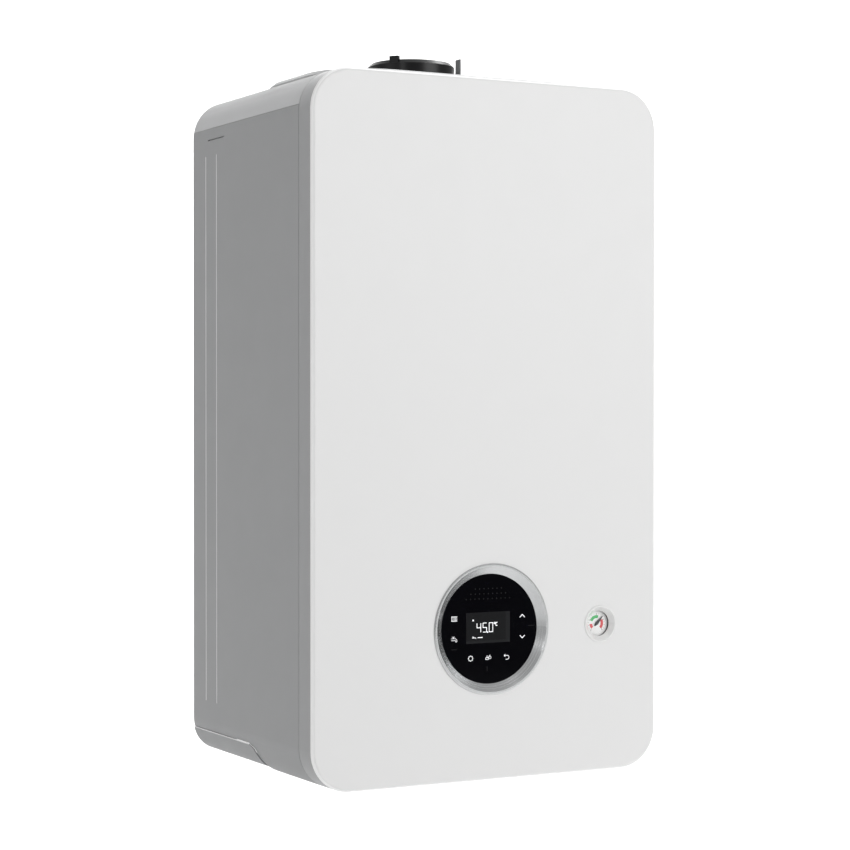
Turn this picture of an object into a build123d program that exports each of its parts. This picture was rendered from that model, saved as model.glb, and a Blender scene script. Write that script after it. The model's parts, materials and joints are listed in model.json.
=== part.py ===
# Wall-hung condensing gas boiler: a white front panel with a round control, a grey casing,
# and the combustion, gas and water parts inside it.
# +Z is up, the front faces -Y, and the wall is the plane y = 0.
# The origin is the middle of the wall bracket's row of bolt holes.
import os
from math import cos, radians, sin

from build123d import *

os.makedirs("parts", exist_ok=True)

# the whole casing
width = 400.0
height = 710.0
depth = 300.0
holes_to_top = 80.0
sheet = 1.2
edge_round = 42.0
half = width / 2
bottom = holes_to_top - height
front = -depth

# front panel
panel_return = 30.0
panel_gap = 0.6
front_round = 4.0

# casing behind the panel, heights above the casing's bottom
top_seam = height - 35.0
corner_seam = 31.0
corner_rise = 4.5
corner_front = -146.0
corner_round = 32.0
groove_rows = (-35.0, -64.0)
groove_low, groove_high = 63.5, top_seam - 30.0

# raised lid on the top
lid_width, lid_length = width - 76.0, depth - 94.0
lid_round = 70.0
lid_height = 7.0
lid_y = front / 2 - 15.0

# flue collar
flue_y = -127.0
collar_r = 47.0
collar_bore = 40.0
flue_r = 30.0
collar_top = height + 36.0

# round control and gauge on the front
dial_x, dial_z = 1.0, 153.0
bezel_r, bezel_neck, bezel_bore = 66.5, 63.0, 55.8
glass_r = 60.0
gauge_z = 152.5
gauge_r = 17.0
surround_r = 19.3

# control box, which tips forward on two pins
box_half = half - 44.0
gauge_x = box_half - 25.0
box_low, box_high = 70.0, 235.0
box_front, box_rear = front + 11.0, front + 63.0
hinge_y, hinge_z = box_rear - 9.0, box_low - 6.0
pin_r = 2.95
running = 0.05

# plates behind and below
back_y = -14.0
plate_z = 48.0
pipe_y = front + 170.0
pipe_rows = {"flow": -130.0, "hot": -65.0, "gas": 0.0, "cold": 65.0, "back": 130.0}

# exchanger, burner and fan
drum_z, drum_r = height - 190.0, 92.0
drum_front, drum_rear = front + 90.0, -40.0
fan_x, fan_z = half - 60.0, drum_z + 55.0
fan_r = 48.0

trap_x, trap_y = 27.5 - half, pipe_y - 58.0
riser_y = pipe_y - 35.0
riser_top = drum_z - 130.0

# pump and water blocks
pump_x, pump_z = 118.0, 128.0
pump_mid = pipe_y - 15.0
relief_x, relief_z = pump_x - 34.0, 68.0
fill_x, fill_y = -30.0, pipe_y - 48.0


def up(z):
    """Height above the casing's bottom, as a z in the part's frame."""
    return bottom + z


def facing(y):
    """Sketch plane at depth y, seen from the front."""
    return Plane.XZ.offset(-y)


def block(x, y, z, mode=Mode.ADD):
    """Box between two limits along each axis, with z above the casing's bottom."""
    with Locations((sum(x) / 2, sum(y) / 2, up(sum(z) / 2))):
        return Box(abs(x[1] - x[0]), abs(y[1] - y[0]), abs(z[1] - z[0]), mode=mode)


def rod_y(x, z, r, y, mode=Mode.ADD):
    """Cylinder along the depth."""
    with Locations((x, sum(y) / 2, up(z))):
        return Cylinder(r, abs(y[1] - y[0]), rotation=(90, 0, 0), mode=mode)


def rod_z(x, y, r, z, mode=Mode.ADD):
    """Upright cylinder."""
    with Locations((x, y, up(sum(z) / 2))):
        return Cylinder(r, abs(z[1] - z[0]), mode=mode)


def rod_x(y, z, r, x, mode=Mode.ADD):
    """Cylinder across the width."""
    with Locations((sum(x) / 2, y, up(z))):
        return Cylinder(r, abs(x[1] - x[0]), rotation=(0, 90, 0), mode=mode)


def ring_y(x, z, points):
    """Solid turned about an axis along the depth, from radius and y pairs."""
    with BuildPart() as turned:
        with BuildSketch(Plane.XY):
            with BuildLine():
                Polyline(*points, close=True)
            make_face()
        revolve(axis=Axis.Y)
    return turned.part.moved(Location((x, 0, up(z))))


def tube(points, bend, r, wall):
    """Bent pipe along the given points, with z above the casing's bottom."""
    with BuildPart() as bent:
        with BuildLine() as path:
            FilletPolyline(*[(x, y, up(z)) for x, y, z in points], radius=bend)
        with BuildSketch(Plane(origin=path.line @ 0, z_dir=path.line % 0)):
            Circle(r)
            if wall:
                Circle(r - wall, mode=Mode.SUBTRACT)
        sweep()
    return bent.part


def casing_block(inset, low, y, rounding=edge_round):
    """Rounded block of the casing's outline, drawn in by an inset."""
    tall = height - low - 2 * inset
    with BuildPart() as body:
        with BuildSketch(facing(max(y))):
            with Locations((0, up(low + inset + tall / 2))):
                RectangleRounded(width - 2 * inset, tall, rounding - inset)
        extrude(amount=max(y) - min(y))
    return body.part


def save(piece, label):
    piece.part.label = label
    export_step(piece.part, f"parts/{label}.step")


casing_rear = -0.5
casing_front = front + panel_return + panel_gap

# Front panel and what it carries

stud_r = 2.5
stud_spots = [(side * (half - 13.0), z) for side in (-1, 1) for z in (90.0, height - 80.0)]

with BuildPart() as front_panel:
    with BuildSketch(facing(front + panel_return)):
        with Locations((0, up(height / 2))):
            RectangleRounded(width, height, edge_round)
    extrude(amount=panel_return)
    fillet(front_panel.faces().sort_by(Axis.Y)[0].edges(), front_round)
    with BuildPart(mode=Mode.SUBTRACT) as hollow:
        with BuildSketch(facing(front + panel_return)):
            with Locations((0, up(height / 2))):
                RectangleRounded(width - 2 * sheet, height - 2 * sheet, edge_round - sheet)
        extrude(amount=panel_return - sheet)
        fillet(hollow.faces().sort_by(Axis.Y)[0].edges(), front_round - sheet)
    for x, z in stud_spots:
        rod_y(x, z, 5.0, (front + sheet, front + sheet + 2.0))
        rod_y(x, z, stud_r, (front + sheet, front + 40.0))
    rod_y(dial_x, dial_z, bezel_neck + 0.2, (front - 1, front + 5), Mode.SUBTRACT)
    rod_y(gauge_x, gauge_z, gauge_r + 0.4, (front - 1, front + 5), Mode.SUBTRACT)
save(front_panel, "front_panel")

bezel_rear = front + 5.2
with BuildPart() as bezel_ring:
    add(ring_y(dial_x, dial_z, [
        (bezel_r, front), (bezel_r, front - 0.8), (bezel_r - 1.3, front - 1.6),
        (bezel_neck + 0.6, front - 1.6), (bezel_neck - 0.6, front - 0.6),
        (bezel_bore, bezel_rear - 0.6), (bezel_bore, bezel_rear),
        (bezel_neck, bezel_rear), (bezel_neck, front)]))
save(bezel_ring, "bezel_ring")

surround_rear = front + 4.8
with BuildPart() as gauge_surround:
    add(ring_y(gauge_x, gauge_z, [
        (surround_r, front), (surround_r, front - 0.4), (surround_r - 0.6, front - 0.9),
        (surround_r - 1.8, front - 0.9), (gauge_r - 3.8, surround_rear - 0.8),
        (gauge_r - 3.8, surround_rear),
        (gauge_r + 0.2, surround_rear), (gauge_r + 0.2, front)]))
save(gauge_surround, "gauge_surround")

# Casing

corner_line = [(10.0, corner_seam), (corner_front, corner_seam), (corner_front - 11.0, 27.0),
               (corner_front - 14.0, 20.0), (corner_front - 14.0, -10.0), (10.0, -10.0)]


def corner_zone(gap):
    """Side-view patch of a rear bottom corner piece, grown by a gap and spanning the width."""
    with BuildPart() as zone:
        with BuildSketch(Plane.YZ.offset(-width)):
            with BuildLine():
                Polyline(*[(y, up(z)) for y, z in corner_line], close=True)
            make_face()
            if gap:
                offset(amount=gap)
        extrude(amount=2 * width)
    return zone.part


def side_panel(side):
    """Side sheet with its bottom bend, two flanges, two V grooves and a slit."""
    with BuildPart() as panel:
        add(casing_block(0, 0, (casing_front, casing_rear)))
        add(casing_block(sheet, 0, (casing_front - 1, casing_rear + 1)), mode=Mode.SUBTRACT)
        with Locations((side * width / 2, 0, up(top_seam / 2))):
            Box(120, 2 * depth, top_seam - 0.6 - 0.01, mode=Mode.INTERSECT)
        add(corner_zone(0.5), mode=Mode.SUBTRACT)
        inner = side * (width / 2 - sheet)
        block((inner, side * (half - 24.0)), (casing_front, casing_front + sheet),
              (60.0, top_seam - 15.0))
        block((inner, side * (half - 35.0)), (back_y - sheet, back_y), (60.0, top_seam - 15.0))
        for y in groove_rows:
            block((inner, inner - side * 1.0), (y - 3, y + 3), (groove_low - 2, groove_high + 2))
            with Locations((side * (half + 0.2), y, up((groove_low + groove_high) / 2))):
                Box(1.8, 1.8, groove_high - groove_low, rotation=(0, 0, 45), mode=Mode.SUBTRACT)
        block((inner - side * 2, side * (half + 2)), (-84.0, -42.0),
              (top_seam - 13.4, top_seam - 12.1), Mode.SUBTRACT)
        for x, z in stud_spots:
            if x * side > 0:
                rod_y(x, z, stud_r + 1.5, (casing_front - 2, casing_front + 2), Mode.SUBTRACT)
    return panel.part


with BuildPart() as side_panel_left:
    add(side_panel(-1))
save(side_panel_left, "side_panel_left")

with BuildPart() as side_panel_right:
    add(side_panel(1))
save(side_panel_right, "side_panel_right")

with BuildPart() as rear_corners:
    add(casing_block(0, corner_rise, (corner_front - 20, casing_rear), corner_round))
    add(casing_block(sheet, corner_rise, (corner_front - 21, casing_rear - sheet), corner_round),
        mode=Mode.SUBTRACT)
    add(corner_zone(0), mode=Mode.INTERSECT)
    block((50.0 - half, half - 50.0), (-depth, depth), (-20.0, 100.0), Mode.SUBTRACT)
    for side in (-1, 1):
        block((side * (half - 30.0), side * (half - 2.9)), (-40.0, -20.0),
              (corner_seam - 2.5, corner_seam + 13.0))
        block((side * (half - 30.0), side * (half - 1.8)), (-40.0, -20.0),
              (corner_seam - 2.5, corner_seam - 0.1))
save(rear_corners, "rear_corners")

lid_z = height + lid_height
with BuildPart() as top_cover:
    add(casing_block(0, 0, (casing_front, casing_rear)))
    add(casing_block(sheet, 0, (casing_front - 1, casing_rear - sheet)), mode=Mode.SUBTRACT)
    block((-width, width), (-2 * depth, depth), (top_seam, height + 50), Mode.INTERSECT)
    block((16.0 - half, half - 16.0), (-6.0, 10.0), (top_seam - 75, height - 15), Mode.SUBTRACT)
    for side in (-1, 1):
        block((side * (half - 12.0), side * (half - 2.0)), (casing_front + 19.4, -30.0),
              (top_seam - 20.0, top_seam + 3.0))
    with BuildSketch(Plane.XY.offset(up(height - 2))):
        with Locations((0, lid_y)):
            RectangleRounded(lid_width, lid_length, lid_round)
    extrude(amount=lid_height + 2)
    chamfer(top_cover.faces().sort_by(Axis.Z)[-1].edges(), 4.0, 5.0)
    with BuildSketch(Plane.XY.offset(up(height - 3))):
        with Locations((0, lid_y)):
            RectangleRounded(lid_width - 14, lid_length - 14, lid_round - 7)
    extrude(amount=lid_height + 3 - sheet, mode=Mode.SUBTRACT)
    rod_z(0, flue_y, collar_r + 0.1, (height - 10, height + 20), Mode.SUBTRACT)
save(top_cover, "top_cover")

with BuildPart() as stud_clips:
    for x, z in stud_spots:
        block((x - 6, x + 6), (casing_front + sheet, casing_front + 12), (z - 6, z + 6))
        rod_y(x, z, stud_r + 0.35, (casing_front, casing_front + 20), Mode.SUBTRACT)
save(stud_clips, "stud_clips")

# Back and bottom plates, wall bracket

bolt_row = height - holes_to_top
bracket_half = 150.0
with BuildPart() as back_frame:
    back_half, back_top = half - 6.0, height - 55.0
    block((-back_half, back_half), (back_y, back_y + sheet), (36.0, back_top))
    for side in (-1, 1):
        block((side * back_half, side * (back_half - sheet)), (back_y, -1.0), (36.0, back_top))
    block((-bracket_half - 2, bracket_half + 2), (back_y - 2, back_y + 4),
          (bolt_row - 2.0, bolt_row + 12.0), Mode.SUBTRACT)
    for side in (-1, 1):
        block((side * 40.0, side * 62.0), (drum_rear, back_y), (drum_z - 50, drum_z + 50))
save(back_frame, "back_frame")

hole_r, hole_pitch = 4.5, 220.0
with BuildPart() as wall_bracket:
    wide = (-bracket_half, bracket_half)
    block(wide, (-2.5, 0.0), (bolt_row - 22.0, bolt_row + 12.0))
    block(wide, (back_y - 3.0, 0.0), (bolt_row + 9.5, bolt_row + 12.0))
    block(wide, (back_y - 3.0, back_y - 0.5), (bolt_row + 9.5, bolt_row + 22.0))
    for x in (-hole_pitch / 2, hole_pitch / 2):
        rod_y(x, bolt_row, hole_r, (-5.0, 5.0), Mode.SUBTRACT)
save(wall_bracket, "wall_bracket")

plate_front = box_rear + 9.0
plate_half = half - 4.0
with BuildPart() as bottom_plate:
    block((-plate_half, plate_half), (plate_front, back_y), (plate_z, plate_z + sheet))
    block((-160.0, 160.0), (back_y - sheet, back_y), (plate_z, plate_z + 16.0))
    for side in (-1, 1):
        block((side * plate_half, side * (plate_half - sheet)), (plate_front, back_y),
              (plate_z, plate_z + 11.0))
        ear = side * (box_half + 2.0)
        block((ear, ear + side * 2.0), (hinge_y - 8, plate_front + 14), (plate_z, hinge_z + 8))
        rod_x(hinge_y, hinge_z, pin_r + running, (ear - side * 1, ear + side * 3), Mode.SUBTRACT)
    for name, x in pipe_rows.items():
        rod_z(x, pipe_y, 15.0 if name in ("flow", "back") else 12.0, (40.0, 55.0), Mode.SUBTRACT)
    rod_z(fill_x, fill_y, 12.0, (40.0, 55.0), Mode.SUBTRACT)
    rod_z(relief_x, pipe_y - 54.0, 8.0, (40.0, 55.0), Mode.SUBTRACT)
    rod_z(trap_x, trap_y, 16.0, (40.0, 55.0), Mode.SUBTRACT)
save(bottom_plate, "bottom_plate")

# Flue

with BuildPart() as flue_collar:
    rod_z(0, flue_y, collar_r + 9.0, (lid_z, lid_z + 3.0))
    rod_z(0, flue_y, collar_r, (lid_z - 6.0, collar_top))
    chamfer(flue_collar.edges().group_by(Axis.Z)[-1], 4.0)
    for angle in (-51.0, 129.0):
        with Locations((44.0 * sin(radians(angle)), flue_y - 44.0 * cos(radians(angle)),
                        up(collar_top - 4.0))):
            Box(10.0, 5.0, 15.0, rotation=(0, 0, angle))
    rod_z(0, flue_y, collar_bore, (lid_z - 10.0, collar_top + 10.0), Mode.SUBTRACT)
save(flue_collar, "flue_collar")

flue_low = height - 110.0
with BuildPart() as flue_pipe:
    rod_z(0, flue_y, flue_r, (flue_low, collar_top - 4.0))
    rod_z(0, flue_y, flue_r + 4.0, (flue_low + 18.0, flue_low + 34.0))
    for angle in range(0, 360, 120):
        with Locations(Location((0, flue_y, up(collar_top - 24.0)), (0, 0, angle))):
            with Locations((flue_r + 4.8, 0, 0)):
                Box(10.0, 3.0, 12.0)
    rod_z(0, flue_y, flue_r - 2.0, (flue_low - 10, collar_top + 10.0), Mode.SUBTRACT)
save(flue_pipe, "flue_pipe")

tab_x, tab_top = collar_r + 12.5, collar_top + 10.0
with BuildPart() as fixing_tab:
    block((tab_x - 2.0, tab_x + 10.0), (flue_y - 5, flue_y + 5), (lid_z, lid_z + 1.5))
    block((tab_x - 2.0, tab_x - 0.5), (flue_y - 5, flue_y + 5), (lid_z, tab_top))
save(fixing_tab, "fixing_tab")

# Heat exchanger, burner and fan

with BuildPart() as heat_exchanger:
    rod_y(0, drum_z, drum_r, (drum_front, drum_rear))
    for y in (-175.0, -145.0, -115.0, -85.0):
        rod_y(0, drum_z, drum_r + 3.0, (y - 2, y + 2))
    rod_y(0, drum_z, drum_r + 5.0, (drum_front, drum_front + 8))
    for x in (-45.0, 45.0):
        rod_z(x, riser_y, 14.0, (riser_top + 24, drum_z - 60))
    rod_z(-12.0, pipe_y - 60, 10.0, (riser_top + 26, drum_z - 80))
    rod_z(0, flue_y, flue_r + 6.0, (flue_low - 10, flue_low + 16))
    rod_y(0, drum_z, drum_r - 4.0, (drum_front - 1, drum_rear - 5), Mode.SUBTRACT)
    rod_z(0, flue_y, flue_r + 0.4, (flue_low - 20, flue_low + 30), Mode.SUBTRACT)
    for x in (-45.0, 45.0):
        rod_z(x, riser_y, 8.0, (riser_top + 10, riser_top + 36), Mode.SUBTRACT)
    rod_z(-12.0, pipe_y - 60, 6.0, (riser_top + 10, riser_top + 60), Mode.SUBTRACT)
save(heat_exchanger, "heat_exchanger")

coil_r = drum_r - 28.0
coil_pitch = (drum_rear - drum_front - 35) / 9
with BuildPart() as water_coil:
    for turn in range(10):
        y = drum_front + 15 + turn * coil_pitch
        with Locations(Location((0, y, up(drum_z)), (90, 0, 0))):
            Torus(coil_r, 0.4 * coil_pitch)
    for angle in (90.0, 210.0, 330.0):
        with Locations((coil_r * cos(radians(angle)), (drum_front + drum_rear) / 2 + 5,
                        up(drum_z) + coil_r * sin(radians(angle)))):
            Box(5.0, drum_rear - drum_front - 20, 5.0, rotation=(0, -angle, 0))
save(water_coil, "water_coil")

door_front = drum_front - 22.0
spark_row, spark_z = (-43.0, -34.0), drum_z - 30.0
with BuildPart() as burner_door:
    rod_y(0, drum_z, drum_r + 5.0, (door_front + 8, drum_front))
    rod_y(0, drum_z, drum_r - 14.0, (door_front, drum_front))
    for angle in range(30, 360, 60):
        x, z = (drum_r - 3) * cos(radians(angle)), (drum_r - 3) * sin(radians(angle))
        rod_y(x, drum_z + z, 3.2, (door_front, drum_front), Mode.SUBTRACT)
    rod_y(0, drum_z, 18.0, (door_front - 2, drum_front + 2), Mode.SUBTRACT)
    for x in spark_row:
        rod_y(x, spark_z, 3.1, (door_front - 2, drum_front + 2), Mode.SUBTRACT)
save(burner_door, "burner_door")

with BuildPart() as door_nuts:
    for angle in range(30, 360, 60):
        x, z = (drum_r - 3) * cos(radians(angle)), (drum_r - 3) * sin(radians(angle))
        rod_y(x, drum_z + z, 2.8, (door_front, drum_front))
        with BuildSketch(facing(door_front + 8.0)):
            with Locations((x, up(drum_z + z))):
                RegularPolygon(5.5, 6)
        extrude(amount=5.0)
save(door_nuts, "door_nuts")

with BuildPart() as burner:
    rod_y(0, drum_z, 30.0, (drum_front, drum_front + 110.0))
    rod_y(0, drum_z, 40.0, (drum_front, drum_front + 2.5))
    rod_y(0, drum_z, 28.5, (drum_front - 1, drum_front + 108.0), Mode.SUBTRACT)
    for y in range(8, 104, 12):
        for angle in range(0, 360, 45):
            with Locations((29.0 * cos(radians(angle)), drum_front + y,
                            up(drum_z) + 29.0 * sin(radians(angle)))):
                Cylinder(2.2, 6.0, rotation=(0, 90 - angle, 0), mode=Mode.SUBTRACT)
save(burner, "burner")

with BuildPart() as electrodes:
    for x in spark_row:
        rod_y(x, spark_z, 3.1, (door_front - 16, drum_front + 10))
        rod_y(x, spark_z, 1.0, (drum_front + 10, drum_front + 40))
    block((spark_row[0] - 5, spark_row[1] + 5), (door_front - 4, door_front),
          (spark_z - 5, spark_z + 5))
save(electrodes, "electrodes")

fan_rear, fan_front = front + 83.0, front + 37.0
with BuildPart() as fan_housing:
    rod_y(fan_x, fan_z, fan_r, (fan_rear, fan_front))
    block((82.0, fan_x), (fan_rear, fan_front), (fan_z + 16, fan_z + fan_r))
    rod_y(fan_x, fan_z, fan_r - 3.0, (fan_rear - 3, fan_front + 3), Mode.SUBTRACT)
    block((80.0, fan_x), (fan_rear - 3, fan_front + 3), (fan_z + 19, fan_z + fan_r - 3),
          Mode.SUBTRACT)
    rod_y(fan_x, fan_z, 20.0, (fan_front - 1, fan_front + 10), Mode.SUBTRACT)
    rod_y(fan_x, fan_z, 2.5, (fan_rear - 10, fan_rear + 1), Mode.SUBTRACT)
save(fan_housing, "fan_housing")

with BuildPart() as fan_motor:
    rod_y(fan_x, fan_z, 33.0, (fan_rear, fan_rear + 40.0))
    fillet(fan_motor.faces().sort_by(Axis.Y)[-1].edges(), 4.0)
    rod_y(fan_x, fan_z, 2.5, (fan_rear - 10, fan_rear + 30), Mode.SUBTRACT)
    block((fan_x + 20, fan_x + 42), (fan_rear + 4, fan_rear + 26), (fan_z - 8, fan_z + 8))
    block((fan_x - 10, fan_x + 10), (fan_rear + 38, back_y), (fan_z - 10, fan_z + 10))
save(fan_motor, "fan_motor")

with BuildPart() as fan_wheel:
    rod_y(fan_x, fan_z, 38.0, (fan_rear - 8, fan_rear - 10))
    rod_y(fan_x, fan_z, 38.0, (fan_front + 8, fan_front + 10))
    rod_y(fan_x, fan_z, 26.0, (fan_front + 6, fan_front + 12), Mode.SUBTRACT)
    for angle in range(0, 360, 24):
        with Locations((fan_x + 32.0 * cos(radians(angle)), (fan_rear + fan_front) / 2,
                        up(fan_z) + 32.0 * sin(radians(angle)))):
            Box(11.0, 28.5, 1.4, rotation=(0, 35 - angle, 0))
    rod_y(fan_x, fan_z, 8.0, (fan_rear - 8, fan_rear - 22))
    rod_y(fan_x, fan_z, 2.5 - running, (fan_rear - 10, fan_rear + 29))
save(fan_wheel, "fan_wheel")

with BuildPart() as mixing_duct:
    block((-22.0, 82.0), (door_front, fan_front), (fan_z + 16, fan_z + fan_r))
    block((-22.0, 22.0), (door_front, fan_front), (drum_z - 22, fan_z + fan_r))
    fillet(mixing_duct.edges().filter_by(Axis.Y).group_by(Axis.X)[0], 14.0)
    block((-18.0, 83.0), (door_front - 3, fan_front + 3), (fan_z + 19, fan_z + fan_r - 3),
          Mode.SUBTRACT)
    block((-18.0, 18.0), (door_front - 3, fan_front + 3), (drum_z - 18, fan_z + fan_r - 3),
          Mode.SUBTRACT)
    rod_y(0, drum_z, 17.0, (door_front - 10, door_front + 1), Mode.SUBTRACT)
save(mixing_duct, "mixing_duct")

venturi_front = fan_front - 20.0
with BuildPart() as venturi:
    rod_y(fan_x, fan_z, 26.0, (fan_front, fan_front - 4))
    rod_y(fan_x, fan_z, 23.0, (fan_front, venturi_front))
    rod_z(fan_x, fan_front - 11, 9.0, (fan_z - 40, fan_z - 10))
    rod_y(fan_x, fan_z, 17.0, (fan_front + 1, venturi_front - 1), Mode.SUBTRACT)
    rod_z(fan_x, fan_front - 11, 6.0, (fan_z - 41, fan_z - 12), Mode.SUBTRACT)
save(venturi, "venturi")

valve_low = fan_z - 160.0
gas_in_y, gas_up_y = front + 50.0, fan_front - 11.0
with BuildPart() as gas_valve:
    block((fan_x - 28, fan_x + 28), (front + 15, front + 72), (valve_low, valve_low + 65))
    fillet(gas_valve.edges(), 3.0)
    rod_z(fan_x, gas_up_y, 10.0, (valve_low + 63, valve_low + 77))
    for x in (-15.0, 15.0):
        rod_y(fan_x + x, valve_low + 47, 11.0, (front + 16, front + 70))
        rod_z(fan_x + x, gas_in_y + 6, 10.0, (valve_low + 63, valve_low + 85))
    rod_x(gas_in_y - 6, valve_low + 21, 9.0, (fan_x - 42, fan_x - 20))
    rod_z(fan_x, gas_in_y, 12.0, (valve_low - 17, valve_low + 3))
    block((fan_x - 18, fan_x + 18), (front + 70, back_y), (valve_low + 15, valve_low + 19))
    rod_z(fan_x, gas_in_y, 8.2, (valve_low - 25, valve_low - 5), Mode.SUBTRACT)
    rod_z(fan_x, gas_up_y, 6.2, (valve_low + 70, valve_low + 85), Mode.SUBTRACT)
save(gas_valve, "gas_valve")

with BuildPart() as gas_pipes:
    add(tube([(0, pipe_y, 60), (0, pipe_y, 262), (fan_x, pipe_y, 262), (fan_x, gas_in_y, 262),
              (fan_x, gas_in_y, valve_low - 7)], 18.0, 8.0, 1.5))
    rod_z(fan_x, gas_up_y, 6.0, (valve_low + 71, fan_z - 14))
    rod_z(fan_x, gas_up_y, 5.0, (valve_low + 65, fan_z), Mode.SUBTRACT)
save(gas_pipes, "gas_pipes")

# Condensate drain

with BuildPart() as siphon:
    rod_z(trap_x, trap_y, 21.0, (plate_z + sheet, 140.0))
    rod_z(trap_x, trap_y, 15.5, (20.0, plate_z + sheet))
    rod_z(trap_x, trap_y, 9.0, (135.0, 152.0))
    rod_z(trap_x, trap_y, 18.5, (52.0, 137.5), Mode.SUBTRACT)
    rod_z(trap_x, trap_y, 10.0, (10.0, 60.0), Mode.SUBTRACT)
    rod_z(trap_x, trap_y, 6.0, (130.0, 160.0), Mode.SUBTRACT)
save(siphon, "siphon")

with BuildPart() as condensate_hose:
    add(tube([(-12.0, pipe_y - 60, riser_top + 36), (-12.0, pipe_y - 60, riser_top + 4),
              (trap_x, trap_y, riser_top - 2), (trap_x, trap_y, 142)], 18.0, 5.9, 1.4))
save(condensate_hose, "condensate_hose")

# Pump and water blocks

block_low = plate_z + sheet
shaft_r = 4.0
plate_rear = pipe_y - 49.0
with BuildPart() as pump_body:
    rod_y(pump_x, pump_z, 44.0, (pump_mid - 20, pump_mid + 20))
    block((pump_x - 18, pump_x + 18), (pump_mid - 17, pump_mid + 17), (block_low, 100.0))
    rod_z(pipe_rows["back"], pipe_y, 13.0, (block_low, 96.0))
    rod_z(pump_x, pump_mid - 3, 13.0, (160.0, 205.0))
    rod_y(pump_x, pump_z, 38.0, (pump_mid - 16, pump_mid + 14), Mode.SUBTRACT)
    rod_y(pump_x, pump_z, shaft_r, (pump_mid - 25, pump_mid - 5), Mode.SUBTRACT)
    rod_z(pump_x, pump_mid - 3, 8.2, (165.0, 210.0), Mode.SUBTRACT)
    rod_z(pipe_rows["back"], pipe_y - 4, 8.0, (40.0, 96.0), Mode.SUBTRACT)
save(pump_body, "pump_body")

with BuildPart() as pump_motor:
    rod_y(pump_x, pump_z, 40.0, (pump_mid - 75, pump_mid - 20))
    block((pump_x - 36, pump_x + 36), (pump_mid - 77, pump_mid - 27),
          (pump_z + 8, pump_z + 58))
    fillet(pump_motor.edges().filter_by(Axis.Y).group_by(Axis.Z)[-1], 6.0)
    rod_y(pump_x, pump_z, 12.0, (pump_mid - 79, pump_mid - 75))
    rod_y(pump_x, pump_z, shaft_r, (pump_mid - 65, pump_mid - 15), Mode.SUBTRACT)
save(pump_motor, "pump_motor")

with BuildPart() as pump_wheel:
    rod_y(pump_x, pump_z, 34.0, (pump_mid - 12, pump_mid - 10))
    rod_y(pump_x, pump_z, 34.0, (pump_mid + 2, pump_mid + 4))
    for angle in range(0, 360, 60):
        with Locations((pump_x + 22.0 * cos(radians(angle)), pump_mid - 4,
                        up(pump_z) + 22.0 * sin(radians(angle)))):
            Box(20.0, 13.0, 2.0, rotation=(0, 40 - angle, 0))
    rod_y(pump_x, pump_z, 13.0, (pump_mid - 12, pump_mid - 5))
    rod_y(pump_x, pump_z, 14.0, (pump_mid, pump_mid + 6), Mode.SUBTRACT)
    rod_y(pump_x, pump_z, shaft_r - running, (pump_mid - 63, pump_mid - 5))
save(pump_wheel, "pump_wheel")

spindle_x, spindle_y = -100.0, pipe_y - 15.0
spindle_r = 3.0
with BuildPart() as flow_block:
    block((-150.0, -50.0), (pipe_y - 48, pipe_y + 20), (block_low, 92.0))
    fillet(flow_block.edges().filter_by(Axis.Z), 8.0)
    block((-80.0, -52.0), (plate_rear, pipe_y - 20), (80.0, 150.0))
    rod_z(-130.0, riser_y, 13.0, (90.0, 124.0))
    rod_z(-130.0, riser_y, 8.2, (60.0, 130.0), Mode.SUBTRACT)
    rod_z(spindle_x, spindle_y, spindle_r, (64.0, 100.0), Mode.SUBTRACT)
    rod_z(-65.0, pipe_y, 7.0, (40.0, 80.0), Mode.SUBTRACT)
    rod_z(-130.0, pipe_y, 9.0, (40.0, 70.0), Mode.SUBTRACT)
    block((-60.0, -49.0), (fill_y - 15, fill_y + 6), (40.0, 75.0), Mode.SUBTRACT)
save(flow_block, "flow_block")

with BuildPart() as return_block:
    block((40.0, pump_x - 20), (pipe_y - 40, pipe_y + 20), (block_low, 86.0))
    fillet(return_block.edges().filter_by(Axis.Z), 6.0)
    block((50.0, 70.0), (plate_rear, pipe_y - 20), (78.0, 150.0))
    rod_z(55.0, pipe_y + 8, 9.0, (84.0, 98.0))
    rod_z(55.0, pipe_y + 8, 5.2, (70.0, 110.0), Mode.SUBTRACT)
    rod_y(relief_x, relief_z, 6.0, (pipe_y - 41, pipe_y - 20), Mode.SUBTRACT)
    rod_z(65.0, pipe_y, 7.0, (40.0, 70.0), Mode.SUBTRACT)
save(return_block, "return_block")

with BuildPart() as plate_exchanger:
    block((-70.0, 72.0), (plate_rear - 45, plate_rear - 4), (86.0, 154.0))
    for row in range(11):
        y = plate_rear - 45 + 4 * row
        block((-74.0, 76.0), (y, y + 1.6), (82.0, 158.0))
    fillet(plate_exchanger.edges().filter_by(Axis.Y).group_by(Axis.X)[0], 8.0)
    fillet(plate_exchanger.edges().filter_by(Axis.Y).group_by(Axis.X)[-1], 8.0)
    for x in (-66.0, 60.0):
        for z in (100.0, 140.0):
            rod_y(x, z, 8.0, (plate_rear - 5, plate_rear))
save(plate_exchanger, "plate_exchanger")

vessel_z, vessel_r, vessel_wall = 272.0, 132.0, 1.5
vessel_front, vessel_rear = pipe_y + 36.0, back_y - 6.0
vessel_round = (vessel_rear - vessel_front) / 2 - 13.0
vessel_mid = (vessel_front + vessel_rear) / 2 - 1.0


def tank(inset):
    """Outline of the expansion vessel, drawn in by an inset."""
    with BuildPart() as drum:
        rod_y(0, vessel_z, vessel_r - inset, (vessel_front + inset, vessel_rear - inset))
        fillet(drum.edges(), vessel_round - inset)
    return drum.part


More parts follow.
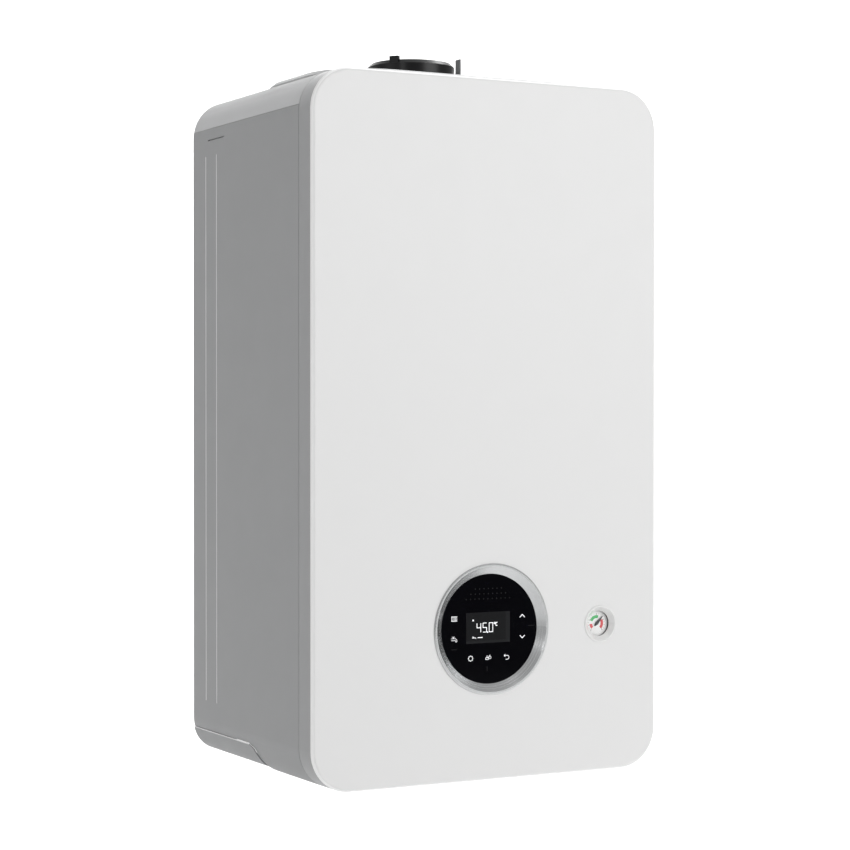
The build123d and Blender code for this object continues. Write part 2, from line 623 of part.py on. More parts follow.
with BuildPart() as expansion_vessel:
    add(tank(0))
    rod_y(0, vessel_z, vessel_r + 3.0, (vessel_mid - 2, vessel_mid + 2))
    rod_y(0, vessel_z, 30.0, (vessel_rear - 1, back_y))
    rod_z(55.0, vessel_mid - 17, 8.0, (144.0, 180.0))
    rod_y(-40.0, vessel_z + 60, 6.0, (vessel_front - 14, vessel_front + 1))
    add(tank(vessel_wall), mode=Mode.SUBTRACT)
    rod_z(55.0, vessel_mid - 17, 5.2, (140.0, 170.0), Mode.SUBTRACT)
save(expansion_vessel, "expansion_vessel")

with BuildPart() as water_pipes:
    add(tube([(-45.0, riser_y, riser_top + 35), (-45.0, riser_y, riser_top),
              (-130.0, riser_y, riser_top), (-130.0, riser_y, 100)], 20.0, 8.0, 1.0))
    add(tube([(45.0, riser_y, riser_top + 35), (45.0, riser_y, riser_top),
              (pump_x, pump_mid - 3, riser_top - 6), (pump_x, pump_mid - 3, 170)],
             20.0, 8.0, 1.0))
    add(tube([(55.0, vessel_mid - 17, 165), (55.0, vessel_mid - 17, 120),
              (55.0, pipe_y + 8, 120), (55.0, pipe_y + 8, 75)], 12.0, 5.0, 1.0))
save(water_pipes, "water_pipes")

with BuildPart() as diverter_motor:
    block((spindle_x - 15, spindle_x + 18), (spindle_y - 20, spindle_y + 20), (92.0, 142.0))
    fillet(diverter_motor.edges().filter_by(Axis.Z), 5.0)
    rod_z(spindle_x, spindle_y, 14.0, (84.0, 92.0), Mode.SUBTRACT)
    rod_z(spindle_x, spindle_y, spindle_r, (90.0, 136.0), Mode.SUBTRACT)
save(diverter_motor, "diverter_motor")

with BuildPart() as diverter_spindle:
    rod_z(spindle_x, spindle_y, spindle_r - running, (74.0, 126.0))
save(diverter_spindle, "diverter_spindle")

relief_front = pipe_y - 68.0
with BuildPart() as relief_valve:
    rod_y(relief_x, relief_z, 11.0, (relief_front, pipe_y - 40))
    rod_y(relief_x, relief_z, 5.9, (pipe_y - 42, pipe_y - 25))
    rod_z(relief_x, pipe_y - 54, 7.0, (20.0, 66.0))
    rod_y(relief_x, relief_z, 3.0, (relief_front - 2, relief_front + 16), Mode.SUBTRACT)
    rod_z(relief_x, pipe_y - 54, 4.5, (10.0, 60.0), Mode.SUBTRACT)
save(relief_valve, "relief_valve")

with BuildPart() as relief_knob:
    rod_y(relief_x, relief_z, 14.0, (relief_front - 18, relief_front - 0.5))
    fillet(relief_knob.faces().sort_by(Axis.Y)[0].edges(), 3.0)
    for angle in range(0, 360, 45):
        rod_y(relief_x + 15.0 * cos(radians(angle)), relief_z + 15.0 * sin(radians(angle)), 3.0,
              (relief_front - 22, relief_front + 8), Mode.SUBTRACT)
    rod_y(relief_x, relief_z, 3.0 - running, (relief_front - 2, relief_front + 12))
save(relief_knob, "relief_knob")

vent_x, vent_z = -108.0, riser_top + 14.0
with BuildPart() as air_vent:
    rod_z(vent_x, riser_y, 5.0, (vent_z - 6, vent_z))
    rod_z(vent_x, riser_y, 13.0, (vent_z, vent_z + 36))
    fillet(air_vent.faces().sort_by(Axis.Z)[-1].edges(), 3.0)
    rod_z(vent_x, riser_y, 2.5, (vent_z + 24, vent_z + 41), Mode.SUBTRACT)
save(air_vent, "air_vent")

with BuildPart() as vent_cap:
    rod_z(vent_x, riser_y, 6.0, (vent_z + 36.5, vent_z + 46))
    chamfer(vent_cap.faces().sort_by(Axis.Z)[-1].edges(), 1.5)
    rod_z(vent_x, riser_y, 2.5 - running, (vent_z + 26, vent_z + 37))
    for angle in range(0, 360, 60):
        rod_z(vent_x + 6.6 * cos(radians(angle)), riser_y + 6.6 * sin(radians(angle)), 1.4,
              (vent_z + 32, vent_z + 51), Mode.SUBTRACT)
save(vent_cap, "vent_cap")

with BuildPart() as filling_valve:
    rod_z(fill_x, fill_y, 11.5, (38.5, 62.0))
    rod_z(fill_x, fill_y, 15.0, (block_low, block_low + 5))
    block((-60.0, fill_x), (fill_y - 5, fill_y + 5), (54.5, 62.0))
    rod_z(fill_x, fill_y, 4.0, (30.0, 58.0), Mode.SUBTRACT)
save(filling_valve, "filling_valve")

with BuildPart() as filling_knob:
    rod_z(fill_x, fill_y, 13.0, (14.0, 38.0))
    for angle in range(0, 360, 60):
        rod_z(fill_x + 15.0 * cos(radians(angle)), fill_y + 15.0 * sin(radians(angle)), 5.0,
              (10.0, 32.0), Mode.SUBTRACT)
    rod_z(fill_x, fill_y, 4.0 - running, (37.0, 54.0))
save(filling_knob, "filling_knob")

# Connections under the plate

stub_low = 6.0
lever_z = 34.0
lever_stem_r = 3.0
valve_front = pipe_y - 15.0
threads = {"flow": 13.2, "hot": 10.4, "gas": 10.4, "cold": 10.4, "back": 13.2}
with BuildPart() as pipe_valves:
    for name, x in pipe_rows.items():
        r = threads[name]
        rod_z(x, pipe_y, r, (stub_low, 24.0))
        neck = 14.8 if r > 12 else 11.8
        rod_z(x, pipe_y, neck, (24.0, 72.0 if name == "gas" else block_low))
        block((x - neck - 1, x + neck + 1), (valve_front, pipe_y + 14), (24.0, 44.0))
        rod_z(x, pipe_y, r - 2.8, (stub_low - 1, 30.0), Mode.SUBTRACT)
        if name in ("flow", "gas", "back"):
            rod_y(x, lever_z, lever_stem_r, (valve_front - 1, valve_front + 10), Mode.SUBTRACT)
    rod_z(0, pipe_y, 8.1, (58.0, 80.0), Mode.SUBTRACT)
save(pipe_valves, "pipe_valves")


def lever(x):
    """Quarter-turn handle hanging in line with its pipe."""
    hub = valve_front - 0.5
    with BuildPart() as handle:
        rod_y(x, lever_z, 6.0, (hub - 6.0, hub))
        block((x - 4.0, x + 4.0), (hub - 6.0, hub - 3.5), (8.0, lever_z))
        rod_y(x, 8.0, 4.0, (hub - 6.0, hub - 3.5))
        rod_y(x, lever_z, lever_stem_r - running, (hub, valve_front + 8.0))
    return handle.part


with BuildPart() as flow_lever:
    add(lever(pipe_rows["flow"]))
save(flow_lever, "flow_lever")

with BuildPart() as gas_lever:
    add(lever(pipe_rows["gas"]))
save(gas_lever, "gas_lever")

with BuildPart() as back_lever:
    add(lever(pipe_rows["back"]))
save(back_lever, "back_lever")


# Control box, display and gauge

wall = 2.2
cover_y = box_rear - wall
board_y = box_front + 25.0
with BuildPart() as control_box:
    block((-box_half, box_half), (box_front, cover_y), (box_low, box_high))
    fillet(control_box.edges().filter_by(Axis.Z), 5.0)
    block((-box_half + wall, box_half - wall), (box_front + wall, cover_y + 5),
          (box_low + wall, box_high - wall), Mode.SUBTRACT)
    rod_y(dial_x, dial_z, 61.0, (front + 7.6, box_front + wall))
    rod_y(dial_x, dial_z, 54.0, (front + 5, box_front + 5), Mode.SUBTRACT)
    rod_y(dial_x, dial_z, 57.2, (front + 5, front + 9.2), Mode.SUBTRACT)
    rod_y(gauge_x, gauge_z, gauge_r + 0.1, (front + 5, box_front + 5), Mode.SUBTRACT)
    for x in (34.0 - box_half, gauge_x - 34.0):
        for z in (93.0, 217.0):
            rod_y(x, z, 3.5, (box_front + wall, board_y))
    for side in (-1, 1):
        block((side * (box_half - 6), side * box_half), (hinge_y - 8, cover_y),
              (hinge_z - 6, box_low))
        rod_x(hinge_y, hinge_z, pin_r, (side * (box_half - 6), side * (box_half + 6)))
save(control_box, "control_box")

with BuildPart() as box_cover:
    block((-box_half, box_half), (cover_y, box_rear), (box_low, box_high))
    fillet(box_cover.edges().filter_by(Axis.Y), 4.0)
    for x in (-90.0, -30.0, 30.0):
        block((x - 12, x + 12), (cover_y - 1, box_rear + 1), (80.0, 90.0), Mode.SUBTRACT)
save(box_cover, "box_cover")

with BuildPart() as main_board:
    block((26.0 - box_half, gauge_x - 26.0), (board_y, board_y + 1.6), (85.0, 225.0))
    for x, z, w, h, deep in ((-105, 200, 30, 26, 16), (-105, 160, 20, 30, 12), (-70, 205, 16, 20, 14),
                             (-45, 205, 16, 20, 14), (-15, 150, 34, 34, 4), (40, 200, 24, 20, 18),
                             (80, 205, 18, 18, 12), (60, 110, 60, 12, 10), (-60, 105, 90, 12, 10)):
        block((x - w / 2, x + w / 2), (board_y + 1.6, board_y + 1.6 + deep), (z - h / 2, z + h / 2))
save(main_board, "main_board")

board_front, board_rear = front + 7.6, front + 9.2
with BuildPart() as display_board:
    rod_y(dial_x, dial_z, 57.0, (board_front, board_rear))
    block((dial_x - 28, dial_x + 28), (board_front - 1, board_rear + 1), (136.0, 172.4),
          Mode.SUBTRACT)
save(display_board, "display_board")

with BuildPart() as display:
    block((dial_x - 27.8, dial_x + 27.8), (board_front, board_rear), (136.2, 172.2))
    block((dial_x - 31, dial_x + 31), (board_rear, board_rear + 3), (133.0, 175.0))
save(display, "display")

with BuildPart() as glass:
    rod_y(dial_x, dial_z, glass_r, (front + 5.6, board_front))
    chamfer(glass.faces().sort_by(Axis.Y)[0].edges(), 0.4)
save(glass, "glass")

lens_front = front + 5.1
with BuildPart() as gauge_body:
    rod_y(gauge_x, gauge_z, gauge_r, (lens_front, board_y))
    rod_y(gauge_x, gauge_z, 13.6, (lens_front - 1, lens_front + 2.8), Mode.SUBTRACT)
    rod_y(gauge_x, gauge_z, 0.9, (lens_front, lens_front + 8.0), Mode.SUBTRACT)
    rod_y(gauge_x, gauge_z, 5.0, (board_y, board_y + 12.0))
save(gauge_body, "gauge_body")

with BuildPart() as gauge_dial:
    rod_y(gauge_x, gauge_z, 13.5, (lens_front + 2.4, lens_front + 2.8))
    rod_y(gauge_x, gauge_z, 0.9, (lens_front, lens_front + 8.0), Mode.SUBTRACT)
save(gauge_dial, "gauge_dial")

with BuildPart() as gauge_lens:
    rod_y(gauge_x, gauge_z, 13.6, (lens_front, lens_front + 0.8))
save(gauge_lens, "gauge_lens")

needle_front = lens_front + 1.2
slope = cos(radians(45.0))
blade = [(-3.7, -0.5), (0, -1.9), (10.0, -0.2), (10.0, 0.2), (0, 1.9), (-3.7, 0.5)]
with BuildPart() as gauge_needle:
    with BuildSketch(facing(needle_front + 0.6)):
        with BuildLine():
            Polyline(*[(gauge_x + slope * (a - b), up(gauge_z) + slope * (a + b))
                       for a, b in blade], close=True)
        make_face()
    extrude(amount=0.6)
    rod_y(gauge_x, gauge_z, 1.6, (needle_front, needle_front + 0.6))
    rod_y(gauge_x, gauge_z, 0.9 - running, (needle_front, lens_front + 6.5))
save(gauge_needle, "gauge_needle")
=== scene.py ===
# %% [markdown]
# # A wall-hung gas boiler
# The CAD model gives every solid its place. This script dresses those solids: paint, metal,
# glass and plastic, the marks on the round control, and the little water gauge. It then sets
# up a pale studio and a camera that stands where the photograph was taken from.
#
# Lengths are in metres. The boiler hangs on a wall at y = 0, its front faces -Y, and z = 0 is
# the row of bolt holes in the wall bracket, 630 mm above the casing's bottom.

# %% Load the model
import json
import math

import bpy
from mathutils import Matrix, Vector


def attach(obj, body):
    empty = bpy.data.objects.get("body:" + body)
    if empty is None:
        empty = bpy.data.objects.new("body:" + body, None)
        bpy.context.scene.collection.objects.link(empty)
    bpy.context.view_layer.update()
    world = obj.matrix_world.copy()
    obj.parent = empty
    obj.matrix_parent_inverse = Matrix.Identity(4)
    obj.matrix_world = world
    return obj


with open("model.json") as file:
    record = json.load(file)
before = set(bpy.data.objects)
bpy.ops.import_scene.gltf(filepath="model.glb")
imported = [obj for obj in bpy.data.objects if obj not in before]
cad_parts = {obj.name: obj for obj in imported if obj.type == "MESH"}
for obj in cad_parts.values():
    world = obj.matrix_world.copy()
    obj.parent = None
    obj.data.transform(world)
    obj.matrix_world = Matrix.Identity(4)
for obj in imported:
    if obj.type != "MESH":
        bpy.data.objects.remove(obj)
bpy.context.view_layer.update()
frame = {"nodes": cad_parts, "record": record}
record = frame["record"]

# %% [markdown]
# ## Places
# Positions on the boiler are easiest to think of in millimetres: across from the middle, back
# from the wall plane, and up from the casing's bottom. `place` turns those into the frame's metres.

# %% Millimetres to metres
HOLES_UP = 630.0


def place(across, back, up):
    """A point given in mm from the middle, the wall and the casing's bottom."""
    return Vector((across, back, up - HOLES_UP)) / 1000


print("front's lower middle:", place(0, -300, 0))

# %% [markdown]
# ## Sums inside a material
# A material's nodes can do arithmetic, but wiring each sum by hand is slow to read. `Wire` wraps
# one socket, so that `a * 2 + b` adds the Math nodes by itself. `Material.node` adds any other node.

# %% Wires and materials
class Wire:
    """One value inside a material; arithmetic on it adds Math nodes."""

    def __init__(self, owner, socket):
        self.owner, self.socket = owner, socket

    def math(self, kind, *values):
        return self.owner.math(kind, *values)

    def __add__(self, other):
        return self.math("ADD", self, other)

    def __radd__(self, other):
        return self.math("ADD", other, self)

    def __sub__(self, other):
        return self.math("SUBTRACT", self, other)

    def __rsub__(self, other):
        return self.math("SUBTRACT", other, self)

    def __mul__(self, other):
        return self.math("MULTIPLY", self, other)

    def __rmul__(self, other):
        return self.math("MULTIPLY", other, self)

    def __truediv__(self, other):
        return self.math("DIVIDE", self, other)

    def __rtruediv__(self, other):
        return self.math("DIVIDE", other, self)

    def __pow__(self, other):
        return self.math("POWER", self, other)

    def above(self, limit):
        return self.math("GREATER_THAN", self, limit)

    def below(self, limit):
        return self.math("LESS_THAN", self, limit)

    def clamped(self):
        return self.owner.node("ShaderNodeClamp", {}, [self, 0.0, 1.0])


class Material:
    """A material with one Principled shader, and short ways to add nodes."""

    def __init__(self, name, roughness=0.5, metallic=0.0, **constants):
        self.made = bpy.data.materials.new(name)
        self.made.use_nodes = True
        self.tree = self.made.node_tree
        self.shader = self.tree.nodes["Principled BSDF"]
        self.shader.inputs["Roughness"].default_value = roughness
        self.shader.inputs["Metallic"].default_value = metallic
        for socket, value in constants.items():
            self.shader.inputs[socket.replace("_", " ")].default_value = value

    def node(self, kind, settings, values, output=0):
        """Adds a node: its settings first, then a value or a wire for each socket."""
        made = self.tree.nodes.new(kind)
        for key, value in settings.items():
            setattr(made, key, value)
        pairs = values.items() if isinstance(values, dict) else enumerate(values)
        for key, value in pairs:
            if isinstance(value, Wire):
                self.tree.links.new(value.socket, made.inputs[key])
            else:
                made.inputs[key].default_value = value
        return Wire(self, made.outputs[output])

    def math(self, kind, *values):
        return self.node("ShaderNodeMath", {"operation": kind}, values)

    def where(self):
        """The point being shaded, in the boiler's frame, in metres."""
        return self.node("ShaderNodeTexCoord", {}, [], "Object")

    def axes(self):
        """The same point as three separate wires."""
        split = self.tree.nodes.new("ShaderNodeSeparateXYZ")
        self.tree.links.new(self.where().socket, split.inputs[0])
        return [Wire(self, split.outputs[i]) for i in range(3)]

    def noise(self, scale, detail=2.0, at=None):
        return self.node("ShaderNodeTexNoise", {}, {
            "Vector": at or self.where(), "Scale": scale, "Detail": detail})

    def mix(self, share, first, second):
        """Blends two colours, each of them a wire or a plain colour."""
        made = self.tree.nodes.new("ShaderNodeMix")
        made.data_type = "RGBA"
        for key, value in ((0, share), (6, first), (7, second)):
            if isinstance(value, Wire):
                self.tree.links.new(value.socket, made.inputs[key])
            else:
                made.inputs[key].default_value = value if key == 0 else (*value, 1.0)
        return Wire(self, made.outputs[2])

    def feed(self, socket, wire):
        self.tree.links.new(wire.socket, self.shader.inputs[socket])

    def bump(self, height, strength, distance=0.0002):
        """Presses a height into the shading; the distance is in metres."""
        self.feed("Normal", self.node("ShaderNodeBump", {}, {
            "Strength": strength, "Distance": distance, "Height": height}))


print("Wire and Material are ready")

# %% [markdown]
# ## Surfaces that come up again and again
# Nearly every piece is either painted or moulded, with a faint mottle and a fine grain, or bare
# metal with drawn-out streaks. One function for each kind keeps the list of finishes short.

# %% Painted, moulded and metal surfaces
def shade(color, amount):
    """A colour made lighter or darker by a share."""
    return tuple(min(1.0, max(0.0, c * (1 + amount))) for c in color)


def mottled(m, color, mottle):
    """A colour that drifts a little lighter and darker in broad clouds."""
    return m.mix(m.noise(9.0, 3.0), shade(color, -mottle), shade(color, mottle))


def grained(name, roughness, grain, dents, **constants):
    """A material with a fine grain and a roughness that wanders; its colour comes later."""
    m = Material(name, roughness, **constants)
    m.feed("Roughness", (m.noise(30.0) - 0.5) * 0.12 + roughness)
    m.bump(m.noise(grain, 1.0), dents)
    return m


def coated(name, color, roughness, mottle=0.02, grain=700.0, dents=0.06, **constants):
    """Paint or moulded plastic in one colour."""
    m = grained(name, roughness, grain, dents, **constants)
    m.feed("Base Color", mottled(m, color, mottle))
    return m


def metal(name, color, roughness, streak=(1.0, 1.0, 14.0), mottle=0.06, dents=0.05):
    """Bare metal with streaks drawn out along one direction."""
    m = Material(name, roughness, 1.0)
    drawn = m.node("ShaderNodeMapping", {}, {"Vector": m.where(), "Scale": streak})
    lines = m.noise(90.0, 4.0, drawn)
    m.feed("Base Color", m.mix(lines, shade(color, -mottle), shade(color, mottle)))
    m.feed("Roughness", (lines - 0.5) * 0.2 + roughness)
    m.bump(lines, dents)
    return m


print("painted, moulded and metal surfaces can be made")

# %% [markdown]
# ## One finish for each material slot
# The record names a material slot for every solid, and each slot gets one finish. These are the
# plain ones. The casing's paints, the control and the gauge follow in cells of their own.

# %% Finishes by slot
finishes = {
    "white_plastic": coated("white plastic", (0.80, 0.80, 0.795), 0.15, 0.006, 900.0, 0.02),
    "collar_black": coated("black plastic", (0.004, 0.004, 0.0045), 0.3, 0.1, 500.0, 0.12,
                           Specular_IOR_Level=0.3),
    "needle_black": coated("black paint", (0.006, 0.006, 0.007), 0.6, 0.1, Specular_IOR_Level=0.1),
    "display_grey": coated("display", (0.055, 0.058, 0.065), 0.25, 0.02),
    "flue_plastic": coated("flue pipe plastic", (0.36, 0.36, 0.35), 0.5, 0.03, 300.0, 0.1),
    "ceramic": coated("glazed ceramic", (0.80, 0.76, 0.68), 0.15, 0.03, 300.0, 0.03),
    "motor_black": coated("motor cover", (0.03, 0.03, 0.033), 0.5, 0.1, 400.0, 0.15),
    "duct_grey": coated("moulded duct", (0.10, 0.10, 0.105), 0.5, 0.08, 300.0, 0.15),
    "gas_pipe_steel": coated("yellow pipe paint", (0.68, 0.50, 0.06), 0.4, 0.05, 250.0, 0.1),
    "trap_plastic": coated("trap plastic", (0.22, 0.23, 0.25), 0.45, 0.05, 300.0, 0.1),
    "hose_grey": coated("rubber hose", (0.06, 0.06, 0.065), 0.65, 0.1, 500.0, 0.2),
    "pump_grey": coated("pump housing", (0.10, 0.105, 0.11), 0.45, 0.06, 350.0, 0.15),
    "wheel_plastic": coated("wheel plastic", (0.05, 0.05, 0.055), 0.4, 0.08),
    "block_plastic": coated("glass-filled plastic", (0.055, 0.055, 0.06), 0.55, 0.12, 250.0, 0.25),
    "vessel_red": coated("vessel paint", (0.38, 0.025, 0.02), 0.35, 0.06, 200.0, 0.1),
    "knob_red": coated("red plastic", (0.50, 0.03, 0.025), 0.35, 0.04),
    "knob_blue": coated("blue plastic", (0.03, 0.11, 0.42), 0.35, 0.04),
    "lever_yellow": coated("yellow coating", (0.70, 0.50, 0.03), 0.4, 0.04),
    "box_grey": coated("control box plastic", (0.12, 0.12, 0.127), 0.5, 0.05, 350.0, 0.2),
    "board_green": coated("circuit board", (0.02, 0.16, 0.06), 0.35, 0.12, 260.0, 0.3),
    "clip_nylon": coated("nylon", (0.66, 0.65, 0.60), 0.45, 0.03),
    "zinc_steel": metal("galvanised sheet", (0.55, 0.56, 0.57), 0.38, (1.0, 1.0, 1.0), 0.14),
    "dark_steel": metal("plain steel", (0.30, 0.30, 0.31), 0.35),
    "stainless": metal("stainless steel", (0.58, 0.58, 0.57), 0.25),
    "cast_aluminium": metal("cast aluminium", (0.56, 0.57, 0.58), 0.5, (1.0, 1.0, 1.0), 0.1, 0.5),
    "valve_alloy": metal("die-cast alloy", (0.50, 0.51, 0.52), 0.45, (1.0, 1.0, 1.0), 0.08, 0.35),
    "copper": metal("copper", (0.72, 0.36, 0.22), 0.28, (1.0, 1.0, 3.0), 0.12),
    "brass": metal("brass", (0.70, 0.52, 0.24), 0.3, (3.0, 3.0, 1.0), 0.08),
}
print(len(finishes), "finishes")

# %% [markdown]
# ## The sides and top, grey in painted shade
# The casing has one white coat all over. The grey of the sides and the lighter grey of the top,
# which faces up, are painted shade. Two pressed grooves run up each side near the wall. Painted
# highlights on their flanks make two fine bright lines, and one more runs along the upper edge of
# the rear corner piece. Painted shade also makes the paint darker towards the bottom edge and over
# the rounded top edge, which evens out the light from the studio's floor and from above. The raised
# lid is lighter.

# %% Painted shade on the sides, painted highlights on the grooves
# These greys stand in for light on one white coat: the side grey and the low grey are painted shade,
# the top, arc and lid greys are painted shade on the top, and the bright grey is a painted highlight.
SIDE_SHADE = (0.338, 0.342, 0.347)
LOW_SHADE = (0.195, 0.197, 0.200)
TOP_SHADE = (0.560, 0.564, 0.570)
ARC_SHADE = (0.330, 0.333, 0.337)
LID_SHADE = (0.55, 0.553, 0.558)
LINE_HIGHLIGHT = (0.78, 0.78, 0.785)
POWDER_GRAIN = 1400.0


def level(up):
    """A height in mm above the casing's bottom, as the frame's metres."""
    return (up - HOLES_UP) / 1000


GROOVES_MIDDLE, GROOVES_APART, FLANK = 0.0495, 0.0145, 0.0010
GROOVE_LOW, GROOVE_HIGH = level(63.0), level(645.5)
CORNER_TOP, CORNER_LINE, CORNER_FRONT = level(30.6), 0.0006, -0.147
BOTTOM_FADE = 0.036

side_paint = grained("powder coat in painted shade", 0.5, POWDER_GRAIN, 0.05)
x, y, z = side_paint.axes()
# Painted highlights: fine bright lines on the groove flanks and on the corner piece's upper edge.
off_middle = side_paint.math("ABSOLUTE", y + GROOVES_MIDDLE)
in_groove = side_paint.math("ABSOLUTE", off_middle - GROOVES_APART).below(FLANK)
on_flank = in_groove * z.above(GROOVE_LOW) * z.below(GROOVE_HIGH)
on_edge = side_paint.math("ABSOLUTE", z - CORNER_TOP).below(CORNER_LINE) * y.above(CORNER_FRONT)
bright = (on_flank + on_edge).clamped()
# Painted shade: the side grows darker towards its bottom edge.
above_bottom = ((z + HOLES_UP / 1000) / BOTTOM_FADE).clamped()
plain = side_paint.mix(above_bottom, LOW_SHADE, mottled(side_paint, SIDE_SHADE, 0.012))
side_paint.feed("Base Color", side_paint.mix(bright, plain, LINE_HIGHLIGHT))
finishes["side_paint"] = side_paint

ARC_START, ARC_DEPTH, LID_UNDERSIDE = 0.063, 0.016, 0.0801

# The top's grey is painted shade on the white coat. It is lighter than the side's because the top faces
# up.
top_paint = grained("light grey powder coat", 0.45, POWDER_GRAIN, 0.04)
x, y, z = top_paint.axes()
# Painted shade: darker over the upper part of the rounded top edge.
over_the_arc = ((z - ARC_START) / ARC_DEPTH).clamped()
shaded_arc = top_paint.mix(over_the_arc, mottled(top_paint, TOP_SHADE, 0.01), ARC_SHADE)
top_paint.feed("Base Color", top_paint.mix(z.above(LID_UNDERSIDE), shaded_arc, LID_SHADE))
finishes["top_paint"] = top_paint
print("grooves are bright lines, and the top is painted")

# %% [markdown]
# ## The white front
# The front panel is one bent sheet in one white coat. Its face is white, its rounded edge gets a
# painted highlight, a thin bright line, and the strip behind that gets painted shade: the grey of the
# side, and along the upper edge the grey of the top.

# %% White face, painted highlight on the edge, painted shade behind it
FACE_DARKER, FACE_LIGHTER = (0.762, 0.762, 0.760), (0.772, 0.772, 0.770)
EDGE_HIGHLIGHT = (0.97, 0.97, 0.97)
ROUNDING_START, ROUNDING_DEPTH = -0.2996, 0.0005
STRIP_START, STRIP_BLEND = -0.2964, 0.0004
TOP_START, TOP_BLEND = 0.040, 0.036

front_paint = grained("white powder coat", 0.42, POWDER_GRAIN, 0.03)
x, y, z = front_paint.axes()
rounding = ((y - ROUNDING_START) / ROUNDING_DEPTH).clamped()
turned_back = ((y - STRIP_START) / STRIP_BLEND).clamped()
to_the_top = ((z - TOP_START) / TOP_BLEND).clamped()
face = front_paint.mix(front_paint.noise(9.0, 3.0), FACE_DARKER, FACE_LIGHTER)
# Painted highlight: the rounded edge is lighter than the face.
face_with_highlight = front_paint.mix(rounding, face, EDGE_HIGHLIGHT)
# Painted shade: the strip behind the edge takes the side's grey, and the top's grey along the upper
# edge.
strip_shade = front_paint.mix(to_the_top, SIDE_SHADE, TOP_SHADE)
front_paint.feed("Base Color", front_paint.mix(turned_back, face_with_highlight, strip_shade))
finishes["white_paint"] = front_paint
print("the face is white and its edge grey")

# %% [markdown]
# ## The bezel, the glass and the gauge's window
# The ring round the control is satin metal, turned on a lathe, so its streaks run round it. The
# height above the middle and the distance across give the radius at each point.
# The glass is nearly black, and the gauge's window is nearly clear.

# %% Ring, glass and window
DIAL = (1.0, 153.0)
GAUGE = (131.0, 152.5)

ring = Material("satin ring", 0.26, 1.0)
x, y, z = ring.axes()
across, above = x - DIAL[0] / 1000, z - level(DIAL[1])
radius = (across * across + above * above) ** 0.5
turned = ring.node("ShaderNodeCombineXYZ", {}, [radius * 3000.0, 0.0, 0.0])
lathe = ring.noise(1.0, 2.0, turned)
ring.feed("Base Color", ring.mix(lathe, (0.56, 0.57, 0.575), (0.69, 0.70, 0.705)))
ring.feed("Roughness", lathe * 0.12 + 0.2)
ring.bump(lathe, 0.05, 0.0001)
finishes["satin_silver"] = ring

pane = Material("black glass", 0.04, Specular_IOR_Level=0.06)
smear = pane.noise(22.0, 3.0)
pane.feed("Base Color", pane.mix(smear, (0.0006, 0.0006, 0.0014), (0.0010, 0.0010, 0.0022)))
pane.feed("Roughness", smear * 0.05 + 0.02)
finishes["black_glass"] = pane

window = Material("clear window", 0.03, Alpha=0.05, Specular_IOR_Level=0.2)
haze = window.noise(60.0, 2.0)
window.feed("Base Color", window.mix(haze, (0.93, 0.94, 0.95), (1.0, 1.0, 1.0)))
window.feed("Roughness", haze * 0.04 + 0.02)
finishes["clear_plastic"] = window

finishes["dial_white"] = coated("printed dial", (0.95, 0.95, 0.94), 0.5, 0.01, 600.0, 0.03)

for part in record["subparts"]:
    solid = frame["nodes"][part["node"]]
    solid.data.materials.clear()
    solid.data.materials.append(finishes[part["material_slot"]].made)
dull = coated("dull zinc", (0.20, 0.205, 0.21), 0.6, 0.1, 300.0, 0.2, Metallic=0.4)
frame["nodes"]["fixing_tab"].data.materials[0] = dull.made
print("every solid has its finish")

# %% [markdown]
# ## Flat marks
# The touch marks, the display's figures and the gauge's scale are printed or lit shapes a few
# hundredths of a millimetre thick. `mark` makes one from outlines drawn in millimetres, seen from
# the front, and lets it move with the control box behind the panel.

# %% A way to make flat marks
def mark(name, material, outlines, middle, back, thick=0.03):
    """Flat shapes from closed outlines in mm, round a middle point, at one depth."""
    points, faces = [], []
    for outline in outlines:
        first, count = len(points), len(outline)
        for depth in (back, back - thick):
            points += [place(middle[0] + a, depth, middle[1] + b) for a, b in outline]
        faces.append([first + count + i for i in range(count)])
        faces.append([first + i for i in reversed(range(count))])
        for i in range(count):
            j = (i + 1) % count
            faces.append([first + i, first + j, first + count + j, first + count + i])
    mesh = bpy.data.meshes.new(name)
    mesh.from_pydata(points, [], faces)
    mesh.materials.append(material.made)
    made = bpy.data.objects.new(name, mesh)
    bpy.context.collection.objects.link(made)
    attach(made, "control_box")
    return made


def bar(a, b, width):
    """Outline of a straight stroke between two points."""
    dx, dy = b[0] - a[0], b[1] - a[1]
    length = math.hypot(dx, dy)
    nx, ny = -dy / length * width / 2, dx / length * width / 2
    return [(a[0] + nx, a[1] + ny), (a[0] - nx, a[1] - ny),
            (b[0] - nx, b[1] - ny), (b[0] + nx, b[1] + ny)]


def stroke(points, width):
    """Outlines of a run of straight strokes."""
    return [bar(a, b, width) for a, b in zip(points, points[1:])]


def rect(left, low, right, high):
    return [(left, low), (right, low), (right, high), (left, high)]


def around(angle, radius, cx=0.0, cy=0.0):
    """The point at an angle in degrees, from the right and turning left, round a middle."""
    turn = math.radians(angle)
    return (cx + radius * math.cos(turn), cy + radius * math.sin(turn))


def disc(cx, cy, radius, corners=10):
    return [around(360 * i / corners, radius, cx, cy) for i in range(corners)]


def spoke(angle, inner, outer, width):
    """Outline of a straight stroke that points away from the middle."""
    return bar(around(angle, inner), around(angle, outer), width)


def arc(inner, outer, start, end, cx=0.0, cy=0.0):
    """Outlines of a curved band, cut in pieces of about ten degrees."""
    steps = max(2, round(abs(end - start) / 10))
    angles = [start + (end - start) * i / steps for i in range(steps + 1)]
    return [[around(s, inner, cx, cy), around(s, outer, cx, cy),
             around(t, outer, cx, cy), around(t, inner, cx, cy)]
            for s, t in zip(angles, angles[1:])]


def moved(outlines, dx, dy):
    return [[(a + dx, b + dy) for a, b in outline] for outline in outlines]


